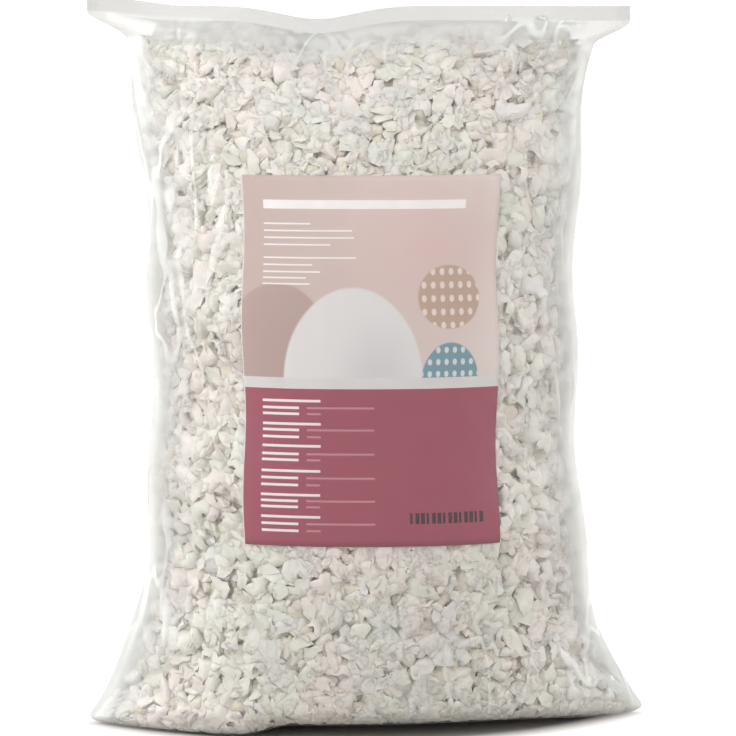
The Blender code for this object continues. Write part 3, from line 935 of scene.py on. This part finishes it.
def make_core(material):
    """The flakes deeper in, seen only as the ground of the gaps, in the darker, warmer foam of painted
    shade.
    """
    dice = random.Random(CORE_SEED)
    around, levels = CORE_AROUND, CORE_LEVELS
    angles = 2 * math.pi * np.arange(around) / around
    heights = np.linspace(CORE_BOTTOM, CORE_TOP, levels)
    angle, height = np.meshgrid(angles, heights)
    rough = [[dice.uniform(0, CORE_ROUGHNESS) for _ in range(around)] for _ in range(levels)]
    rough = np.array(rough)
    points = section(angle, height, SIDE_SLACK + CORE_INSET + rough, CORE_INSET + rough)
    core = mesh_object("foam_core", settle(points).reshape(-1, 3), loft_faces(levels, around))
    core.data.materials.append(material)
    close_ends(core, levels, around)
    core.data.shade_smooth()
    core.data.set_sharp_from_angle(angle=math.radians(60))
    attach(core, "root")
    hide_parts("foam_flakes")


# Printed sheet
def sheet_map(inset):
    """A fine grid of the sheet's surface: rows up the sheet, columns across it."""
    rows, columns = SHEET_ROWS, SHEET_COLUMNS
    fine = np.linspace(SHEET_BOTTOM, SHOULDER_HEIGHT, 600)
    spine = section(-math.pi / 2, fine)
    climb = np.concatenate([[0.0], np.cumsum(np.linalg.norm(np.diff(spine, axis=0), axis=1))])
    heights = np.interp(np.linspace(0, SHEET_HEIGHT, rows + 1), climb, fine)
    angles = math.pi + math.pi * np.linspace(0.002, 0.998, 900)
    grid = np.empty((rows + 1, columns + 1, 3))
    for row, height in enumerate(heights):
        route = section(angles, height, 0.0, inset)
        along = np.concatenate([[0.0], np.cumsum(np.linalg.norm(np.diff(route, axis=0), axis=1))])
        upright = LEAN * (height / BAG_HEIGHT - 0.5)
        start = along[-1] / 2 - SHEET_WIDTH / 2 + SHEET_CENTRE_X + upright
        wanted = start + np.linspace(0, SHEET_WIDTH, columns + 1)
        for axis in range(3):
            grid[row, :, axis] = np.interp(wanted, along, route[:, axis])
    return settle(grid)


def on_sheet(grid, across, up):
    """The place on the sheet at distances from its left edge and from its foot."""
    rows, columns = grid.shape[0] - 1, grid.shape[1] - 1
    u = np.clip(across / SHEET_WIDTH * columns, 0, columns - 1e-6)
    v = np.clip(up / SHEET_HEIGHT * rows, 0, rows - 1e-6)
    i, j = v.astype(int), u.astype(int)
    a, b = (v - i)[..., None], (u - j)[..., None]
    low = grid[i, j] * (1 - b) + grid[i, j + 1] * b
    high = grid[i + 1, j] * (1 - b) + grid[i + 1, j + 1] * b
    return low * (1 - a) + high * a


def print_box(left, top, right, bottom):
    """A box of the print, from photo pixels to (left, low, right, high) on the sheet."""
    return (
        (left - SHEET_LEFT_PX) * PIXEL,
        SHEET_HEIGHT - (bottom - SHEET_TOP_PX) * PIXEL,
        (right - SHEET_LEFT_PX) * PIXEL,
        SHEET_HEIGHT - (top - SHEET_TOP_PX) * PIXEL,
    )


def disc_mask(tree, flat, centre, radii, soft):
    """1 inside an ellipse on the sheet, 0 outside, with a soft edge."""
    shifted = vector_math(tree, "SUBTRACT", flat, (*centre, 0))
    scaled = vector_math(tree, "DIVIDE", shifted, (*radii, 1))
    return map_range(tree, vector_math(tree, "LENGTH", scaled), (1.0, 1.0 - soft))


def dot_mask(tree, flat, pitch, reach):
    """Rows of round dots, as a mask."""
    part = vector_math(tree, "FRACTION", vector_math(tree, "DIVIDE", flat, (pitch, pitch, 1)))
    from_middle = vector_math(tree, "DISTANCE", part, (0.5, 0.5, 0))
    return map_range(tree, from_middle, (reach, reach - DOT_EDGE))


def lay_over(tree, under, mask, colour):
    """Lays a colour over another where a mask is 1."""
    mix = tree.nodes.new("ShaderNodeMix")
    mix.data_type = "RGBA"
    tree.links.new(mask, mix.inputs["Factor"])
    tree.links.new(under, mix.inputs["A"])
    mix.inputs["B"].default_value = (*colour, 1)
    return mix.outputs["Result"]


def picture_print(name):
    """The pale half of the print: a soft pink ground with plain round shapes on it."""
    material, tree, shader = new_material(name)
    nodes, links = tree.nodes, tree.links
    shader.inputs["Roughness"].default_value = 0.42
    shader.inputs["Specular IOR Level"].default_value = 0.12
    place = nodes.new("ShaderNodeUVMap")
    place.uv_map = "print"
    flat = place.outputs["UV"]
    parts = nodes.new("ShaderNodeSeparateXYZ")
    links.new(flat, parts.inputs["Vector"])
    ground = nodes.new("ShaderNodeValToRGB")
    ground.color_ramp.elements[0].position = 0.0
    ground.color_ramp.elements[0].color = (0.53, 0.41, 0.38, 1)
    ground.color_ramp.elements[1].position = 1.0
    ground.color_ramp.elements[1].color = (0.70, 0.62, 0.59, 1)
    links.new(parts.outputs["X"], ground.inputs["Fac"])
    colour = ground.outputs["Color"]
    for centre, radii, soft, plain, dots in PICTURE:
        mask = disc_mask(tree, flat, centre, radii, soft)
        colour = lay_over(tree, colour, mask, plain)
        if dots:
            pitch, dotted = dots
            mask = math_node(tree, "MULTIPLY", mask, dot_mask(tree, flat, pitch, DOT_REACH))
            colour = lay_over(tree, colour, mask, dotted)
    links.new(colour, shader.inputs["Base Color"])
    return material


def flat_print(name, colour):
    material, tree, shader = new_material(name)
    nodes, links = tree.nodes, tree.links
    shader.inputs["Roughness"].default_value = 0.42
    shader.inputs["Specular IOR Level"].default_value = 0.12
    place = nodes.new("ShaderNodeTexCoord")
    grain = noise(tree, place.outputs["Object"], 60, 5)
    shade = map_range(tree, grain.outputs["Fac"], (0.3, 0.7), (0.96, 1.03))
    mix = nodes.new("ShaderNodeVectorMath")
    mix.operation = "SCALE"
    mix.inputs[0].default_value = colour
    links.new(shade, mix.inputs["Scale"])
    links.new(mix.outputs["Vector"], shader.inputs["Base Color"])
    return material


def fill_gaps(values, widest):
    """Sorted values without doubles, with more put in so that no step is wider than the widest."""
    out = [values[0]]
    for value in values[1:]:
        if value - out[-1] < 1e-5:
            continue
        steps = max(1, math.ceil((value - out[-1]) / widest))
        start = out[-1]
        out += [start + (value - start) * (step + 1) / steps for step in range(steps)]
    return out


def line_box(left, right, middle, half):
    """A box of the print for one line, from its ends, its height and half its thickness."""
    return print_box(left, middle - half, right, middle + half)


def print_boxes():
    """The boxes of the print, each with its material: later ones lie over earlier ones."""
    boxes = [
        (print_box(PRINT_LEFT_PX, PRINT_TOP_PX, PRINT_RIGHT_PX, SPLIT_PX), PALE),
        (print_box(PRINT_LEFT_PX, SHELF_TOP_PX, PRINT_RIGHT_PX, SPLIT_PX), SHELF),
        (print_box(PRINT_LEFT_PX, SPLIT_PX, PRINT_RIGHT_PX, PRINT_BOTTOM_PX), DARK),
        (print_box(LINE_LEFT_PX, HEADING_TOP_PX, HEADING_RIGHT_PX, HEADING_BOTTOM_PX), WHITE),
    ]
    for middle, right in THIN_LINES_PX:
        boxes.append((line_box(LINE_LEFT_PX, right, middle, THIN_LINE_HALF_PX), WHITE))
    for block in TEXT_BLOCKS_PX:
        for line, middle in enumerate(block):
            right = TEXT_RIGHT_PX if line else TITLE_RIGHT_PX
            boxes.append((line_box(TEXT_LEFT_PX, right, middle, TEXT_HALF_PX), WHITE))
            if line:
                right = LONG_NOTE_RIGHT_PX if line == 1 else SHORT_NOTE_RIGHT_PX
                boxes.append((line_box(NOTE_LEFT_PX, right, middle, NOTE_HALF_PX), SOFT))
    for k in range(BAR_COUNT):
        left = BAR_LEFT_PX + k * BAR_PITCH_PX
        right = left + (BAR_WIDTH_PX if k % 3 else THIN_BAR_WIDTH_PX)
        boxes.append((print_box(left, BAR_TOP_PX, right, BAR_BOTTOM_PX), BLACK))
    return boxes


def make_sheet():
    """Makes the sheet as one grid whose cells end at the edges of the print."""
    front = sheet_map(SHEET_INSET)
    materials = [
        flat_print("paper", (0.74, 0.70, 0.69)),
        flat_print("dark_print", (0.335, 0.062, 0.105)),
        picture_print("pale_print"),
        flat_print("white_print", (0.84, 0.80, 0.80)),
        flat_print("shelf_print", (0.66, 0.64, 0.64)),
        flat_print("soft_print", (0.52, 0.24, 0.28)),
        flat_print("black_print", (0.045, 0.012, 0.02)),
    ]
    boxes = print_boxes()
    across, up = {0.0, SHEET_WIDTH}, {0.0, SHEET_HEIGHT}
    for (left, low, right, high), _ in boxes:
        across |= {left, right}
        up |= {low, high}
    across = fill_gaps(sorted(value for value in across if 0 <= value <= SHEET_WIDTH), SHEET_CELL)
    up = fill_gaps(sorted(value for value in up if 0 <= value <= SHEET_HEIGHT), SHEET_CELL)
    u, v = np.meshgrid(across, up)
    rows, columns = len(up), len(across)
    i, j = np.meshgrid(np.arange(rows - 1), np.arange(columns - 1), indexing="ij")
    a = (i * columns + j).ravel()
    faces = np.stack([a, a + 1, a + columns + 1, a + columns], axis=-1)
    sheet = mesh_object("front_sheet_print", on_sheet(front, u, v).reshape(-1, 3), faces)
    for material in materials:
        sheet.data.materials.append(material)
    index = np.full((rows - 1, columns - 1), PAPER, dtype=np.int32)
    mid_u = (np.array(across)[1:] + np.array(across)[:-1]) / 2
    mid_v = (np.array(up)[1:] + np.array(up)[:-1]) / 2
    for (left, low, right, high), slot in boxes:
        inside = np.outer((mid_v > low) & (mid_v < high), (mid_u > left) & (mid_u < right))
        index[inside] = slot
    sheet.data.polygons.foreach_set("material_index", index.ravel())
    places = np.stack([u.ravel() / SHEET_WIDTH, v.ravel() / SHEET_HEIGHT], axis=-1)
    corners = np.empty(len(sheet.data.loops), dtype=np.int32)
    sheet.data.loops.foreach_get("vertex_index", corners)
    layer = sheet.data.uv_layers.new(name="print")
    layer.data.foreach_set("uv", places[corners].astype(np.float32).ravel())
    sheet.data.shade_smooth()
    thick = sheet.modifiers.new("thickness", "SOLIDIFY")
    thick.thickness = SHEET_THICKNESS
    thick.offset = -1
    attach(sheet, "root")
    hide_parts("front_sheet")


# Studio
def make_camera():
    data = bpy.data.cameras.new("camera")
    data.lens = CAMERA_LENS
    data.sensor_width = 36
    data.clip_end = 200
    camera = bpy.data.objects.new("camera", data)
    away = Vector((0, -math.cos(CAMERA_ELEVATION), math.sin(CAMERA_ELEVATION)))
    camera.location = CAMERA_TARGET + away * CAMERA_DISTANCE
    camera.rotation_euler = (math.pi / 2 - CAMERA_ELEVATION, 0, 0)
    bpy.context.scene.collection.objects.link(camera)
    bpy.context.scene.camera = camera


def area_light(name, place, size, power):
    data = bpy.data.lights.new(name, "AREA")
    data.shape = "SQUARE"
    data.size = size
    data.energy = power
    lamp = bpy.data.objects.new(name, data)
    lamp.location = place
    lamp.rotation_euler = (LAMP_TARGET - Vector(place)).to_track_quat("-Z", "Y").to_euler()
    bpy.context.scene.collection.objects.link(lamp)


def seen_rays(tree, path):
    """1 for rays from the camera and from glossy surfaces, 0 for the others."""
    return math_node(tree, "MAXIMUM", path.outputs["Is Camera Ray"], path.outputs["Is Glossy Ray"])


def make_floor():
    """A pale floor that glows for the camera, its glow fading out close to the base, which paints shade
    there around the shadow that the lamps cast.
    """
    reach = FLOOR_REACH
    mesh = bpy.data.meshes.new("floor")
    corners = [(-reach, -reach, 0), (reach, -reach, 0), (reach, reach, 0), (-reach, reach, 0)]
    mesh.from_pydata(corners, [], [(0, 1, 2, 3)])
    floor = bpy.data.objects.new("floor", mesh)
    floor.location.z = -FLOOR_DROP
    bpy.context.scene.collection.objects.link(floor)
    material, tree, shader = new_material("pale_floor")
    nodes, links = tree.nodes, tree.links
    shader.inputs["Base Color"].default_value = (0.46, 0.44, 0.42, 1)
    shader.inputs["Roughness"].default_value = 0.9
    shader.inputs["Specular IOR Level"].default_value = 0.0
    shader.inputs["Emission Color"].default_value = (1, 0.98, 0.97, 1)
    place = nodes.new("ShaderNodeTexCoord")
    turn = nodes.new("ShaderNodeMapping")
    turn.inputs["Rotation"].default_value = (0, 0, -FOOT_TWIST)
    links.new(place.outputs["Object"], turn.inputs["Vector"])
    quarter = vector_math(tree, "ABSOLUTE", turn.outputs["Vector"])
    to_arc = vector_math(tree, "ADD", quarter, (0, FOOTPRINT_RADIUS - BASE_DEPTH / 2, 0))
    away = vector_math(tree, "LENGTH", to_arc)
    # painted shade: the glow fades to nothing from 3 cm outside the footprint to 1 cm inside it, so the
    # floor there is darker, beside the real shadow
    edge = (FOOTPRINT_RADIUS - 0.010, FOOTPRINT_RADIUS + 0.030)
    glow_with_painted_shade = map_range(tree, away, edge, (0.0, FLOOR_GLOW))
    path = nodes.new("ShaderNodeLightPath")
    only_seen = math_node(tree, "MULTIPLY", seen_rays(tree, path), glow_with_painted_shade)
    links.new(only_seen, shader.inputs["Emission Strength"])
    mesh.materials.append(material)


def make_studio():
    """Soft lamps, a floor and a world that lights the bag and is white when seen."""
    world = bpy.data.worlds.new("studio")
    bpy.context.scene.world = world
    world.use_nodes = True
    nodes, links = world.node_tree.nodes, world.node_tree.links
    light = nodes["Background"]
    light.inputs["Color"].default_value = (1.0, 0.99, 0.985, 1)
    light.inputs["Strength"].default_value = 0.96
    seen = nodes.new("ShaderNodeBackground")
    seen.inputs["Color"].default_value = (1, 1, 1, 1)
    seen.inputs["Strength"].default_value = 1.0
    path = nodes.new("ShaderNodeLightPath")
    rays = seen_rays(world.node_tree, path)
    rays = math_node(world.node_tree, "MAXIMUM", rays, path.outputs["Is Transmission Ray"])
    mix = nodes.new("ShaderNodeMixShader")
    links.new(rays, mix.inputs["Fac"])
    links.new(light.outputs[0], mix.inputs[1])
    links.new(seen.outputs[0], mix.inputs[2])
    links.new(mix.outputs[0], nodes["World Output"].inputs["Surface"])
    for name, place, size, power in LAMPS:
        area_light(name, place, size, power)
    make_floor()


bpy.context.scene.view_settings.view_transform = "Standard"
make_camera()
make_studio()
skin = make_film()
# painted shade: the deep flakes and the core get a darker, warmer copy of the foam, for the shade in
# the gaps
deep_foam_painted_shade = foam_material("foam_deep_painted_shade", (0.94, 0.90, 0.83))
make_flakes(skin, foam_material("foam", (0.98, 0.975, 0.965)), deep_foam_painted_shade)
make_core(deep_foam_painted_shade)
make_sheet()
